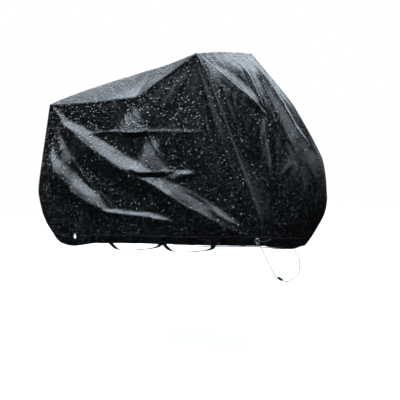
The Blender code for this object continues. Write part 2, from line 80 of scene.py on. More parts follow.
# Distances in from a seam where the cloth is shaped: the seam's roll, its stitch line, its edge.
STITCH_IN = 0.007
SEAM_STEPS = (0.0, 0.0022, 0.0045, STITCH_IN, 0.01, 0.015)
# Heights up from the hem's edge, in the same way.
CASING_STITCH = 0.0535
CASING_STEPS = (0.0, 0.003, 0.007, 0.012, 0.019, 0.027, 0.036, 0.045, 0.05, CASING_STITCH, 0.0565, 0.061,
                0.067, DRAWN)
STITCH_CLEAR = 4              # rows from the hem's edge where a seam's stitches start
# Points up an end, along the top and across it, between the close ones by the seams.
FINE_END, FINE_TOP, FINE_ACROSS = 92, 190, 56
TOP_LENGTH, TOP_WIDTH = 1.42, 0.5           # near enough, to space the close points
CURVE_STEPS = 24              # fine steps between two given points
CURVE_PULL = 0.35             # how far a soft curve is pulled towards its straight chords
GRAIN_CELLS = 64              # cells of noise before it repeats


def new_piece(name, data):
    """An object in the scene for a mesh or a camera."""
    piece = bpy.data.objects.new(name, data)
    bpy.context.scene.collection.objects.link(piece)
    return piece


# ---- The view, and the draw cord's loose end

def set_view():
    data = bpy.data.cameras.new("view")
    data.lens = 94.5
    data.clip_end = 100.0
    view = new_piece("view", data)
    view.location = (3.862, -4.836, -0.666)
    view.rotation_euler = (math.radians(90.0 - 1.855), 0.0, math.radians(40.0))
    bpy.context.scene.camera = view


set_view()

TIE_DROP = [(0.8484, -0.227, 0.1028), (0.8565, -0.2348, 0.0899), (0.8625, -0.2368, 0.0817),
            (0.8704, -0.2354, 0.0718), (0.885, -0.239, 0.056), (0.899, -0.2385, 0.034),
            (0.91, -0.233, 0.009), (0.926, -0.216, -0.04), (0.936, -0.1872, -0.0905),
            (0.945, -0.175, -0.099)]
LOCK_END = (0.962, -0.152, -0.115)
TIE_RETURN = [LOCK_END, (0.97, -0.14, -0.122), (0.968, -0.108, -0.124),
              (0.961, -0.07, -0.118), (0.939, 0.0, -0.114), (0.919, 0.056, -0.106),
              (0.908, 0.09, -0.07), (0.892, 0.112, -0.03), (0.872, 0.119, -0.001),
              (0.8568, 0.122, 0.019), (0.8538, 0.122, 0.0352)]
TIE_TAIL = [(0.8574, -0.2264, 0.0995), (0.8588, -0.2372, 0.0956), (0.866, -0.2399, 0.0952),
            (0.8779, -0.2402, 0.096), (0.896, -0.243, 0.096), (0.907, -0.236, 0.098),
            (0.9075, -0.216, 0.102), (0.9045, -0.195, 0.107), (0.9035, -0.178, 0.11)]
HEM_CORD = [(0.405, -0.233, 0.0492), (0.52, -0.233, 0.053), (0.648, -0.231, 0.059),
            (0.794, -0.2283, 0.0648), (0.8406, -0.2242, 0.0667), (0.87, -0.205, 0.064),
            (0.8852, -0.1643, 0.0588), (0.8858, -0.108, 0.0508), (0.8738, -0.0477, 0.0449),
            (0.8629, 0.0092, 0.0407), (0.8642, 0.0668, 0.0384), (0.8538, 0.122, 0.0381),
            (0.8423, 0.1746, 0.0396)]


# ---- Helpers for shapes

def smooth(t):
    t = np.clip(t, 0.0, 1.0)
    return t * t * (3.0 - 2.0 * t)


def unit(v):
    return v / np.maximum(np.linalg.norm(v, axis=-1, keepdims=True), 1e-12)


def run_along(points, axis=0):
    """The distance run at each point of a row, or along one axis of a grid."""
    steps = np.linalg.norm(np.diff(points, axis=axis), axis=-1)
    return np.insert(np.cumsum(steps, axis=axis), 0, 0.0, axis=axis)


def soft_curve(points):
    """Fine points along a curve through the given ones, with the distance run at each."""
    pts = np.array(points, float)
    ends = np.vstack([2 * pts[0] - pts[1], pts, 2 * pts[-1] - pts[-2]])
    fine = []
    t = np.arange(CURVE_STEPS)[:, None] / CURVE_STEPS
    for a, b, c, d in zip(ends, ends[1:], ends[2:], ends[3:]):
        bent = 0.5 * (2 * b + (c - a) * t + (2 * a - 5 * b + 4 * c - d) * t * t
                      + (3 * b - a - 3 * c + d) * t ** 3)
        fine.append(bent + CURVE_PULL * (b + (c - b) * t - bent))
    fine = np.vstack(fine + [pts[-1:]])
    return fine, run_along(fine)


def at_shares(points, shares):
    fine, run = soft_curve(points)
    return np.stack([np.interp(np.asarray(shares) * run[-1], run, fine[:, k]) for k in range(3)], axis=1)


def mesh_piece(name, points, faces, uv=None):
    """A smooth mesh of points in the model's coordinates. uv holds one pair for each point."""
    mesh = bpy.data.meshes.new(name)
    mesh.from_pydata([tuple(p) for p in points], [], faces)
    if uv is not None:
        layer = mesh.uv_layers.new(name="cloth")
        corner = np.empty(len(mesh.loops), int)
        mesh.loops.foreach_get("vertex_index", corner)
        layer.data.foreach_set("uv", np.asarray(uv, np.float32)[corner].ravel())
    mesh.validate()
    mesh.shade_smooth()
    return new_piece(name, mesh)


def dress(piece, material, slot, *nodes):
    """Give a piece its material, fix it to the root and hide the CAD nodes it stands for. The slot is not
    used.
    """
    piece.data.materials.append(material)
    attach(piece, "root")
    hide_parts(*nodes)
    return piece


def evaluated(piece):
    """The mesh of a piece with its modifiers applied."""
    return bpy.data.meshes.new_from_object(piece.evaluated_get(bpy.context.evaluated_depsgraph_get()))


def grain(x, y, seed):
    """Smooth noise from -1 to 1 with one cell to each unit of x and y."""
    table = np.random.default_rng(seed).uniform(-1.0, 1.0, (GRAIN_CELLS, GRAIN_CELLS))
    cx, cy = np.floor(x).astype(int), np.floor(y).astype(int)
    fx, fy = smooth(x - cx), smooth(y - cy)
    a, b, c, d = (table[(cx + i) % GRAIN_CELLS, (cy + j) % GRAIN_CELLS]
                  for i, j in ((0, 0), (1, 0), (0, 1), (1, 1)))
    return (a * (1 - fx) + b * fx) * (1 - fy) + (c * (1 - fx) + d * fx) * fy


def ring(steps, side, other):
    """Directions spaced once round an axis."""
    turns = np.linspace(0.0, math.tau, steps, endpoint=False)[:, None]
    return np.cos(turns) * side + np.sin(turns) * other


def band_faces(rings, steps, closed=False):
    """Quads between rings of points, and from the last ring to the first if closed."""
    faces = []
    for k in range(rings if closed else rings - 1):
        n = (k + 1) % rings
        for a in range(steps):
            b = (a + 1) % steps
            faces.append((k * steps + a, k * steps + b, n * steps + b, n * steps + a))
    return faces


def grid_faces(rows, cols):
    """Corners a, b, c and d of each quad of a grid of points, as four columns."""
    index = np.arange(rows * cols).reshape(rows, cols)
    corners = index[:-1, :-1], index[:-1, 1:], index[1:, 1:], index[1:, :-1]
    return np.stack([corner.ravel() for corner in corners], 1)


def cord_tube(name, centre):
    """A closed tube along fine points, with UVs: once round, and metres along."""
    sides = CORD_SIDES
    ahead = unit(np.gradient(centre, axis=0))
    across = np.cross(ahead[0], (0.0, 0.0, 1.0))
    radii = np.full(len(centre), CORD_R)
    radii[[0, -1]] *= CORD_END
    rings = []
    for c, r, d in zip(centre, radii, ahead):
        across = across - d * np.dot(across, d)
        across = across / np.linalg.norm(across)
        rings.append(c + r * ring(sides, across, np.cross(d, across)))
    points = np.vstack(rings + [centre[:1], centre[-1:]])
    faces = band_faces(len(centre), sides)
    last = (len(centre) - 1) * sides
    faces += [(len(points) - 2, (a + 1) % sides, a) for a in range(sides)]
    faces += [(len(points) - 1, last + a, last + (a + 1) % sides) for a in range(sides)]
    run = run_along(centre)
    turns = np.linspace(0.0, math.tau, sides, endpoint=False) / math.tau
    around = np.concatenate([np.tile(turns, len(centre)), [0.0, 0.0]])
    along = np.concatenate([np.repeat(run, sides), [0.0, run[-1]]])
    return mesh_piece(name, points, faces, np.stack([around, along], 1))


def route_points(route):
    """Points along a given route, in the model's coordinates, and its length."""
    length = soft_curve(route)[1][-1]
    return at_shares(route, np.linspace(0.0, 1.0, round(length / CORD_STEP) + 1)) - HELD_AT, length


def turned(name, profile, origin, axis, steps, closed=False):
    """A turned piece: rings of (radius, distance along the axis), capped unless the profile is closed."""
    axis = unit(np.asarray(axis, float))
    side = unit(np.cross(axis, (0.3, 0.2, 0.9)))
    around = ring(steps, side, np.cross(axis, side))
    points = np.vstack([origin + axis * along + r * around for r, along in profile])
    faces = band_faces(len(profile), steps, closed)
    if not closed:
        faces.append(tuple(range(steps))[::-1])
        faces.append(tuple((len(profile) - 1) * steps + a for a in range(steps)))
    return mesh_piece(name, points, faces)


# ---- Finishes

class Nodes:
    """A node tree, with short ways to add and link its nodes."""

    def __init__(self, tree):
        self.tree = tree

    def node(self, kind, feed=None, **values):
        """A new node with its settings and inputs set or linked, and feed linked to its first input."""
        made = self.tree.nodes.new(kind)
        for key, value in values.items():
            if hasattr(made, key):
                setattr(made, key, value)
            elif isinstance(value, bpy.types.NodeSocket):
                self.link(value, made.inputs[key.replace("_", " ")])
            else:
                made.inputs[key.replace("_", " ")].default_value = value
        if feed is not None:
            self.link(feed, made.inputs[0])
        return made

    def link(self, source, target):
        self.tree.links.new(source, target)

    def maths(self, operation, a, b=0.0, clamp=False):
        made = self.node("ShaderNodeMath", operation=operation, use_clamp=clamp)
        for socket, value in zip(made.inputs, (a, b)):
            if isinstance(value, (int, float)):
                socket.default_value = value
            else:
                self.link(value, socket)
        return made.outputs[0]

    def wave(self, value, pitch):
        """A sine of a coordinate, with one turn to a pitch."""
        return self.maths("SINE", self.maths("MULTIPLY", value, math.tau / pitch))

    def span(self, value, low, high, to_low, to_high):
        """A value eased from one range to another, and held at the range's ends."""
        made = self.node("ShaderNodeMapRange", value, interpolation_type="SMOOTHSTEP",
                         From_Min=low, From_Max=high, To_Min=to_low, To_Max=to_high)
        return made.outputs["Result"]


class Finish(Nodes):
    """A Principled material with its node tree open for more nodes."""

    def __init__(self, name, colour, roughness, **values):
        self.material = bpy.data.materials.new(name)
        self.material.use_nodes = True
        super().__init__(self.material.node_tree)
        self.shader = self.tree.nodes["Principled BSDF"]
        self.shader.inputs["Base Color"].default_value = (*colour, 1.0)
        self.shader.inputs["Roughness"].default_value = roughness
        for key, value in values.items():
            self.shader.inputs[key.replace("_", " ")].default_value = value
        self.place = self.node("ShaderNodeTexCoord").outputs["Object"]

    def feed(self, socket, source):
        self.link(source, self.shader.inputs[socket])

    def blend_colour(self, share, low, high):
        made = self.node("ShaderNodeMix", data_type="RGBA", Factor=share, A=(*low, 1.0), B=(*high, 1.0))
        self.feed("Base Color", made.outputs["Result"])

    def raise_surface(self, height, distance, strength=1.0, after=None):
        bump = self.node("ShaderNodeBump", Height=height, Distance=distance, Strength=strength)
        if after is not None:
            self.link(after, bump.inputs["Normal"])
        return bump.outputs["Normal"]

    def split(self, place):
        """The first two coordinates of a place."""
        parts = self.node("ShaderNodeSeparateXYZ", place)
        return parts.outputs["X"], parts.outputs["Y"]


def drops(cloth, cells, fewest):
    """Heights of rain beads: one dome in each cell, of random size, and none in some."""
    cell = cloth.node("ShaderNodeTexVoronoi", cloth.place, Scale=cells, Randomness=1.0)
    chance = cloth.node("ShaderNodeSeparateColor", cell.outputs["Color"])
    radius = cloth.span(chance.outputs["Red"], fewest, 1.0, 0.02, 0.46)
    share = cloth.maths("DIVIDE", cell.outputs["Distance"], radius)
    dome = cloth.maths("SUBTRACT", 1.0, cloth.maths("POWER", share, 2.0), clamp=True)
    dome = cloth.maths("POWER", dome, 0.5)
    return cloth.maths("MULTIPLY", cloth.maths("MULTIPLY", dome, radius), 1.0 / cells)


def coated_cloth():
    cloth = Finish("wet coated cloth", (0.0030, 0.0034, 0.0036), 0.30, Coat_Weight=0.9, Coat_Roughness=0.12,
                   Specular_IOR_Level=0.25)
    patches = cloth.node("ShaderNodeTexNoise", cloth.place, Scale=9.0, Detail=4.0, Roughness=0.6)
    patches = patches.outputs["Fac"]
    cloth.feed("Roughness", cloth.span(patches, 0.35, 0.70, 0.17, 0.28))
    share = cloth.span(patches, 0.40, 0.75, 0.0, 1.0)
    cloth.blend_colour(share, (0.0014, 0.0016, 0.0017), (0.0030, 0.0033, 0.0036))
    crumple = cloth.node("ShaderNodeTexNoise", cloth.place, Scale=42.0, Detail=5.0, Roughness=0.62,
                         Distortion=0.4)
    normal = cloth.raise_surface(crumple.outputs["Fac"], 0.0042, 0.5)
    # The weave, over and under at 0.8 mm, along the cloth's own threads.
    warp, weft = cloth.split(cloth.node("ShaderNodeUVMap", uv_map="cloth").outputs["UV"])
    weave = cloth.maths("MULTIPLY", cloth.wave(warp, 0.0016), cloth.wave(weft, 0.0016))
    normal = cloth.raise_surface(weave, 0.00006, 1.0, normal)
    beads = cloth.maths("MAXIMUM", drops(cloth, 210.0, 0.60), drops(cloth, 80.0, 0.58))
    normal = cloth.raise_surface(beads, 0.80, 1.0, normal)
    cloth.feed("Normal", normal)
    cloth.feed("Coat Normal", normal)
    return cloth.material


def webbing_finish():
    web = Finish("ribbed webbing", (0.010, 0.010, 0.011), 0.62)
    x, y = web.split(web.place)
    cross = web.maths("MULTIPLY", web.wave(x, 0.0024), web.wave(y, 0.0030))
    # Painted shade: the colour is darker where the weave's bumps are low, in the grooves between the ribs,
    # and lighter on the raised ribs.
    web.blend_colour(web.span(cross, -1.0, 1.0, 0.0, 1.0), (0.006, 0.006, 0.007), (0.018, 0.018, 0.020))
    web.feed("Normal", web.raise_surface(cross, 0.00025))
    return web.material


def braid_finish():
    braid = Finish("braided cord", (0.020, 0.020, 0.021), 0.55)
    x, y = braid.split(braid.node("ShaderNodeUVMap", uv_map="cloth").outputs["UV"])
    around = braid.maths("MULTIPLY", x, math.tau * 4)
    along = braid.maths("MULTIPLY", y, math.tau / 0.0045)
    one = braid.maths("SINE", braid.maths("ADD", around, along))
    two = braid.maths("SINE", braid.maths("SUBTRACT", around, along))
    strands = braid.maths("MAXIMUM", one, two)
    # Painted shade: the colour is darker where the strands' bumps are low, in the grooves between the
    # strands.
    braid.blend_colour(braid.span(strands, -0.2, 1.0, 0.0, 1.0), (0.004, 0.004, 0.005), (0.018, 0.018, 0.020))
    braid.feed("Normal", braid.raise_surface(strands, 0.0004))
    return braid.material


def thread_finish():
    thread = Finish("bonded thread", (0.016, 0.016, 0.018), 0.5)
    twist = thread.node("ShaderNodeTexWave", thread.place, Scale=900.0, Distortion=1.0)
    thread.feed("Normal", thread.raise_surface(twist.outputs["Fac"], 0.00015))
    return thread.material


def speckled(finish, scale, detail, reach, roughness, height=None):
    """Let a fine noise vary a finish's roughness and, with a height, its surface."""
    noise = finish.node("ShaderNodeTexNoise", finish.place, Scale=scale, Detail=detail).outputs["Fac"]
    finish.feed("Roughness", finish.span(noise, *reach, *roughness))
    if height is not None:
        finish.feed("Normal", finish.raise_surface(noise, height))
    return finish.material


CLOTH = coated_cloth()
WATER = speckled(Finish("rain bead", (0.0040, 0.0044, 0.0048), 0.06, IOR=2.9, Coat_Weight=1.0,
                        Coat_Roughness=0.05), 120.0, 2.0, (0.3, 0.7), (0.04, 0.14))
WEBBING = webbing_finish()
BRAID = braid_finish()
NICKEL = speckled(Finish("nickel plate", (0.66, 0.67, 0.69), 0.22, Metallic=1.0),
                  260.0, 3.0, (0.35, 0.70), (0.16, 0.38), 0.0001)
LOCK = speckled(Finish("moulded nylon", (0.020, 0.020, 0.021), 0.38),
                900.0, 2.0, (0.3, 0.7), (0.30, 0.46), 0.00012)
THREAD = thread_finish()


# ---- Cords and their lock

def make_cord(name, route, nodes, **loose):
    """A stretch of draw cord along a given route. The loose settings are not used."""
    points, length = route_points(route)
    cord = dress(cord_tube(name, points), BRAID, "cord", *nodes)


def make_lock():
    """A barrel cord lock: ribbed body, neck and round button, with the cord's way through it."""
    start = np.array(TIE_DROP[-1]) - HELD_AT
    end = np.array(LOCK_END) - HELD_AT
    length = np.linalg.norm(end - start)
    hole = CORD_R + LOCK_CLEAR
    # Each ring's radius, and its share of the lock's length.
    outline = [(hole, 0.02), (0.0055, 0.02), (0.0072, 0.05), (0.0080, 0.10)]
    for rib in range(5):
        at = 0.13 + rib * 0.075
        outline += [(0.0085, at), (0.0085, at + 0.035), (0.0078, at + 0.045), (0.0078, at + 0.065)]
    outline += [(0.0083, 0.53), (0.0078, 0.57), (0.0062, 0.60), (0.0062, 0.66), (0.0076, 0.68),
                (0.0084, 0.72), (0.0084, 0.88), (0.0076, 0.94), (0.0058, 0.98), (hole, 0.98),
                (hole, 0.75), (hole, 0.25)]
    profile = [(r, share * length) for r, share in outline]
    lock = turned("barrel_lock", profile, start, end - start, LOCK_SIDES, closed=True)
    return dress(lock, LOCK, "lock_plastic", "cord_lock")


make_cord("draw_cord_tie", TIE_DROP + TIE_RETURN[1:], ("tie_cord", "tie_return"), far_end="object",
          with_pieces=[make_lock()])
make_cord("draw_cord_tail", TIE_TAIL, ("tie_tail",), far_end="bare")
make_cord("drawn_hem_cord", HEM_CORD, ("hem_cord",))


# ---- The pattern of the three panels

# outward is 1 on the near side, and -1 where a panel's grid runs so that its faces have to be turned over.
Panel = namedtuple("Panel", "piece node outward flat area crease_seed shape_seed rain_seed")
PANELS = {
    "near": Panel("near_side_cloth", "near_side_panel", 1.0, (1.95, 1.20), 1.62, 11, 101, 5),
    "far": Panel("far_side_cloth", "far_side_panel", -1.0, (1.98, 1.22), 1.75, 23, 211, 7),
    "gusset": Panel("gusset_cloth", "top_gusset", -1.0, (3.85, 0.53), 1.90, 51, 307, 9),
}

Section = namedtuple("Section", "name near middle far")
LEFT_PEAK = Section("left peak", (-0.811, -0.25, 0.906), (-0.85, -0.015, 0.975), (-0.83, 0.22, 1.055))
CROWN = Section("crown", (0.424, -0.25, 1.153), (0.44, 0.0, 1.178), (0.448, 0.24, 1.186))
LEFT_END = [
    Section("left hem", (-0.905, -0.215, 0.148), (-0.935, 0.0, 0.095), (-0.89, 0.215, 0.12)),
    Section("low bulge", (-0.94, -0.222, 0.265), (-0.975, 0.0, 0.25), (-0.935, 0.225, 0.265)),
    Section("bulge", (-0.955, -0.225, 0.36), (-0.99, 0.0, 0.36), (-0.955, 0.228, 0.37)),
    Section("above bulge", (-0.915, -0.228, 0.55), (-0.96, 0.0, 0.6), (-0.925, 0.228, 0.62)),
    LEFT_PEAK,
]
TOP = [
    LEFT_PEAK,
    Section("left third", (-0.45, -0.252, 0.907), (-0.45, -0.01, 0.99), (-0.42, 0.228, 1.085)),
    Section("dip", (-0.11, -0.252, 0.917), (-0.09, -0.005, 1.01), (-0.04, 0.235, 1.112)),
    Section("dip end", (-0.03, -0.25, 0.926), (0.0, -0.003, 1.03), (0.06, 0.237, 1.125)),
    Section("rise", (0.175, -0.25, 1.025), (0.2, 0.0, 1.09), (0.24, 0.24, 1.155)),
    CROWN,
]
RIGHT_END = [
    CROWN,
    Section("crown slope", (0.5, -0.252, 1.05), (0.57, 0.0, 1.065), (0.548, 0.255, 1.075)),
    Section("point", (0.628, -0.255, 0.8), (0.705, 0.0, 0.806), (0.735, 0.275, 0.865)),
    Section("waist", (0.74, -0.256, 0.549), (0.79, 0.01, 0.55), (0.932, 0.28, 0.556)),
    Section("bulge", (0.85, -0.256, 0.319), (0.87, 0.01, 0.31), (0.967, 0.28, 0.33)),
    Section("low bulge", (0.897, -0.252, 0.205), (0.895, 0.01, 0.19), (0.95, 0.276, 0.226)),
    Section("right hem", (0.908, -0.238, 0.072), (0.884, 0.01, 0.044), (0.85, 0.245, 0.046)),
]
NEAR_HEM = [(-0.905, -0.215, 0.148), (-0.86, -0.236, 0.11), (-0.8, -0.246, 0.056),
            (-0.725, -0.25, 0.014), (-0.61, -0.25, 0.0), (-0.4, -0.25, 0.028),
            (0.0, -0.25, 0.044), (0.4, -0.25, 0.054), (0.908, -0.238, 0.072)]
FAR_HEM = [(-0.89, 0.215, 0.12), (-0.8, 0.24, 0.05), (-0.64, 0.248, 0.012),
           (-0.3, 0.25, 0.03), (0.3, 0.25, 0.038), (0.85, 0.245, 0.046)]

# Folds of each face. A fold's line is drawn on the face: (x, height) on the sides and (y, height)
# on the right end. Its crest stands out by rise and fades over a width on each flank.
Fold = namedtuple("Fold", "name line rise left_width right_width")
NEAR_FOLDS = [Fold(*row) for row in (
    ("left peak to ledge",
     [(-0.8, 0.905), (-0.66, 0.765), (-0.42, 0.62), (-0.16, 0.495), (0.06, 0.425), (0.24, 0.34)],
     0.034, 0.09, 0.14),
    ("ledge to tie", [(-0.04, 0.455), (0.18, 0.37), (0.44, 0.245), (0.81, 0.112)], 0.017, 0.095, 0.13),
    ("upper pouch", [(-0.21, 0.716), (-0.12, 0.7), (0.03, 0.712)], 0.023, 0.16, 0.018),
    ("lower pouch", [(-0.07, 0.485), (0.04, 0.468), (0.19, 0.466)], 0.034, 0.23, 0.022),
    ("ledge", [(0.2, 0.438), (0.3, 0.446), (0.42, 0.466)], 0.011, 0.035, 0.03),
    ("left shoulder", [(-0.87, 0.5), (-0.74, 0.49), (-0.6, 0.53)], 0.034, 0.29, 0.25),
    ("left bulge",
     [(-0.79, 0.64), (-0.76, 0.55), (-0.7, 0.44), (-0.6, 0.36), (-0.42, 0.27), (-0.27, 0.215)],
     0.03, 0.115, 0.08),
    ("left bulge's tail", [(-0.36, 0.235), (-0.1, 0.205), (0.26, 0.185)], 0.01, 0.045, 0.05),
    ("crown to tie", [(0.43, 1.1), (0.5, 0.93), (0.6, 0.68), (0.73, 0.38)], 0.004, 0.04, 0.05),
    ("middle crown fold", [(0.41, 1.07), (0.42, 0.8), (0.46, 0.4)], 0.004, 0.05, 0.05),
    ("short crown fold", [(0.37, 1.07), (0.25, 0.93), (0.14, 0.82)], 0.003, 0.04, 0.05),
)]
FAR_FOLDS = [Fold(*row) for row in (
    ("left corner to hem", [(-0.8, 0.98), (-0.45, 0.7), (0.1, 0.4), (0.6, 0.2)], 0.03, 0.07, 0.15),
    ("crown to hem", [(0.42, 1.1), (0.2, 0.8), (0.05, 0.4)], 0.022, 0.1, 0.08),
    ("crown to right hem", [(0.5, 1.05), (0.66, 0.6), (0.76, 0.25)], 0.018, 0.08, 0.07),
    ("left bulge", [(-0.8, 0.66), (-0.66, 0.4), (-0.3, 0.22)], 0.024, 0.08, 0.12),
)]
END_FOLDS = [Fold(*row) for row in (
    ("edge of crown slope", [(-0.235, 1.14), (-0.2, 1.02), (-0.11, 0.925), (0.02, 0.805)], 0.022, 0.1, 0.04),
    ("point to hem", [(0.02, 0.83), (0.0, 0.7), (-0.03, 0.46)], 0.006, 0.045, 0.06),
    ("valley by the ridge", [(0.105, 1.16), (0.095, 1.0), (0.1, 0.85), (0.15, 0.6)], -0.008, 0.05, 0.045),
    ("far ridge", [(0.16, 1.17), (0.165, 0.92), (0.185, 0.73), (0.26, 0.56)], 0.017, 0.045, 0.065),
    ("waist crumple", [(0.08, 0.58), (0.17, 0.48), (0.22, 0.36)], 0.007, 0.05, 0.06),
    ("low crumple", [(-0.06, 0.24), (0.1, 0.18), (0.19, 0.16)], 0.007, 0.05, 0.06),
)]

# Sharp creases, from packing and from the pull of the crown, with a crest that is a line.
Crease = namedtuple("Crease", "line rise width")
NEAR_CREASES = [Crease(*row) for row in (
    ([(-0.56, 0.708), (-0.33, 0.72), (-0.1, 0.712), (0.1, 0.712), (0.34, 0.7), (0.56, 0.694)], 0.0055, 0.018),
    ([(0.02, 0.487), (0.1, 0.468), (0.24, 0.466), (0.4, 0.474)], 0.006, 0.016),
    ([(0.11, 0.915), (0.108, 0.83), (0.112, 0.72)], 0.003, 0.014),
    ([(-0.66, 0.64), (-0.71, 0.59), (-0.75, 0.53)], 0.005, 0.018),
    ([(-0.7, 0.86), (-0.655, 0.74), (-0.64, 0.65)], 0.0045, 0.02),
    ([(-0.62, 0.57), (-0.54, 0.48), (-0.44, 0.4), (-0.25, 0.29)], 0.0045, 0.018),
    ([(-0.75, 0.81), (-0.6, 0.75), (-0.4, 0.66), (-0.1, 0.565)], 0.004, 0.02),
    ([(-0.14, 0.85), (-0.1, 0.75), (-0.085, 0.7), (-0.03, 0.58), (0.04, 0.48)], 0.004, 0.018),
    ([(-0.1, 0.85), (0.01, 0.76), (0.09, 0.66), (0.2, 0.52)], 0.0035, 0.018),
    ([(0.3, 0.4), (0.44, 0.335), (0.62, 0.235), (0.84, 0.125)], 0.003, 0.018),
    ([(0.1, 0.4), (0.34, 0.29), (0.58, 0.19), (0.83, 0.108)], 0.0045, 0.018),
    ([(0.425, 1.12), (0.455, 0.86), (0.49, 0.5)], 0.0022, 0.022),
    ([(0.43, 1.12), (0.55, 0.8), (0.62, 0.45)], 0.0014, 0.02),
    ([(0.415, 1.12), (0.33, 0.99), (0.22, 0.84)], 0.003, 0.02),
    ([(0.42, 1.12), (0.39, 0.95), (0.36, 0.78)], 0.003, 0.02),
    ([(-0.36, 0.25), (-0.2, 0.222), (0.02, 0.2), (0.3, 0.19)], 0.005, 0.016),
    ([(-0.28, 0.215), (-0.36, 0.205), (-0.3, 0.235)], 0.005, 0.016),
    ([(-0.1, 0.205), (0.06, 0.215), (0.16, 0.18)], 0.0045, 0.016),
    ([(0.5, 0.28), (0.68, 0.2), (0.84, 0.16)], 0.0035, 0.018),
    ([(-0.42, 0.16), (-0.2, 0.11), (0.06, 0.09)], 0.003, 0.02),
    ([(0.64, 0.6), (0.74, 0.38), (0.83, 0.18)], 0.003, 0.02),
)]
END_CREASES = [Crease(*row) for row in (
    ([(0.02, 1.1), (0.025, 0.96), (0.022, 0.81)], 0.007, 0.02),
    ([(-0.235, 1.145), (-0.2, 1.02), (-0.11, 0.925), (0.018, 0.805)], 0.005, 0.02),
    ([(0.022, 0.815), (0.0, 0.71), (-0.015, 0.62), (-0.035, 0.45)], 0.0085, 0.016),
    ([(0.02, 0.79), (-0.02, 0.7), (-0.06, 0.6)], 0.0045, 0.016),
    ([(0.1, 1.14), (0.096, 1.0), (0.098, 0.86), (0.12, 0.72)], 0.003, 0.018),
    ([(0.028, 0.458), (0.126, 0.53)], 0.006, 0.022),
    ([(-0.129, 0.451), (-0.076, 0.39)], 0.005, 0.02),
    ([(0.07, 0.309), (0.17, 0.321)], 0.005, 0.018),
    ([(0.07, 0.286), (0.15, 0.236)], 0.005, 0.018),
    ([(-0.037, 0.194), (0.06, 0.155), (0.15, 0.117)], 0.005, 0.016),
    ([(0.16, 1.165), (0.166, 0.92), (0.184, 0.725), (0.26, 0.562)], 0.005, 0.014),
)]
FAR_CREASES = [Crease(*row) for row in (
    ([(-0.5, 0.735), (0.0, 0.715), (0.5, 0.7)], 0.0045, 0.022),
    ([(0.11, 1.05), (0.108, 0.8), (0.112, 0.45)], 0.004, 0.02),
    ([(-0.7, 0.9), (-0.4, 0.66), (-0.05, 0.49)], 0.005, 0.024),
    ([(0.44, 1.12), (0.34, 0.92), (0.2, 0.62)], 0.005, 0.024),
    ([(0.47, 1.1), (0.6, 0.75), (0.72, 0.4)], 0.005, 0.024),
    ([(-0.76, 0.6), (-0.6, 0.36), (-0.36, 0.22)], 0.0045, 0.022),
)]


def nearest_on(line, across, height):
    """Distance to a line drawn on a face, which flank a place is on, and its share of the line."""
    line = np.array(line)
    spans = np.linalg.norm(np.diff(line, axis=0), axis=1)
    distance = np.full(across.shape, np.inf)
    left = np.zeros(across.shape, bool)
    share = np.zeros(across.shape)
    walked = 0.0
    for p, q, span in zip(line, line[1:], spans):
        dx, dy = q - p
        ax, ay = across - p[0], height - p[1]
        t = np.clip((ax * dx + ay * dy) / span ** 2, 0.0, 1.0)
        ox, oy = ax - t * dx, ay - t * dy
        d = np.hypot(ox, oy)
        closer = d < distance
        distance = np.where(closer, d, distance)
        left = np.where(closer, dx * oy - dy * ox > 0, left)
        share = np.where(closer, (walked + t * span) / spans.sum(), share)
        walked += span
    return distance, left, share


def fold_lift(folds, across, height):
    """How far the folds push a face out. A fold is lower and narrower by its ends."""
    lift = np.zeros(across.shape)
    for fold in folds:
        distance, left, share = nearest_on(fold.line, across, height)
        width = np.where(left, fold.left_width, fold.right_width)
        swell = (0.12 + 0.88 * smooth(share / 0.35)) * (0.25 + 0.75 * smooth((1.0 - share) / 0.25))
        lift += fold.rise * swell * smooth(1.0 - distance / (width * swell))
    return lift


CREASE_WANDER = 0.008         # how far a crease strays from its line
CREASE_CELLS = 9.0            # cells of that noise to the metre
CREASE_ASIDE = 31.7           # where the noise for heights starts


def crease_lift(creases, across, height, seed):
    """How far the sharp creases stand out of a face. They fade away at their ends."""
    x, y = across * CREASE_CELLS, height * CREASE_CELLS
    across = across + CREASE_WANDER * grain(x, y, seed)
    height = height + CREASE_WANDER * grain(across * CREASE_CELLS + CREASE_ASIDE, y, seed + 1)
    lift = np.zeros(across.shape)
    for crease in creases:
        distance, _, share = nearest_on(crease.line, across, height)
        fade = smooth(share / 0.22) * smooth((1.0 - share) / 0.22)
        lift += crease.rise * fade * np.clip(1.0 - distance / crease.width, 0.0, 1.0) ** 2
    return lift


def graded(length, count):
    """Shares along a length, close together by both seams."""
    near = np.array(SEAM_STEPS) / length
    return np.concatenate([near, np.linspace(near[-1], 1.0 - near[-1], count)[1:-1], 1.0 - near[::-1]])


def rows_up(sections):
    """Shares up an end: close together in the hem casing and by the seam at the top."""
    length = soft_curve([s.near for s in sections])[1][-1]
    low = np.array(CASING_STEPS) / length
    high = 1.0 - np.array(SEAM_STEPS)[::-1] / length
    return np.concatenate([low, np.linspace(low[-1], high[0], FINE_END)[1:-1], high])


ACROSS = graded(TOP_WIDTH, FINE_ACROSS)
ALONG = graded(TOP_LENGTH, FINE_TOP)
LEFT_ROWS = rows_up(LEFT_END)
RIGHT_ROWS = rows_up(RIGHT_END[::-1])
END_OUT = np.array((0.92, 0.0, 0.39))       # the way the right end's folds stand out
RIDGE_SOFT = 0.08                           # how blunt the top's slanting ridge is


def seam_parts(seam):
    """A seam's stretches up the left end, along the top and down the right end."""
    ends, tops = len(LEFT_ROWS), len(ALONG)
    return seam[:ends], seam[ends - 1:ends - 1 + tops], seam[ends + tops - 2:]


def set_seam(side, seam):
    """Give a side panel's three sewn edges what the gusset has along the same seam."""
    side[:, 0], side[-1], side[::-1, -1] = seam_parts(seam)


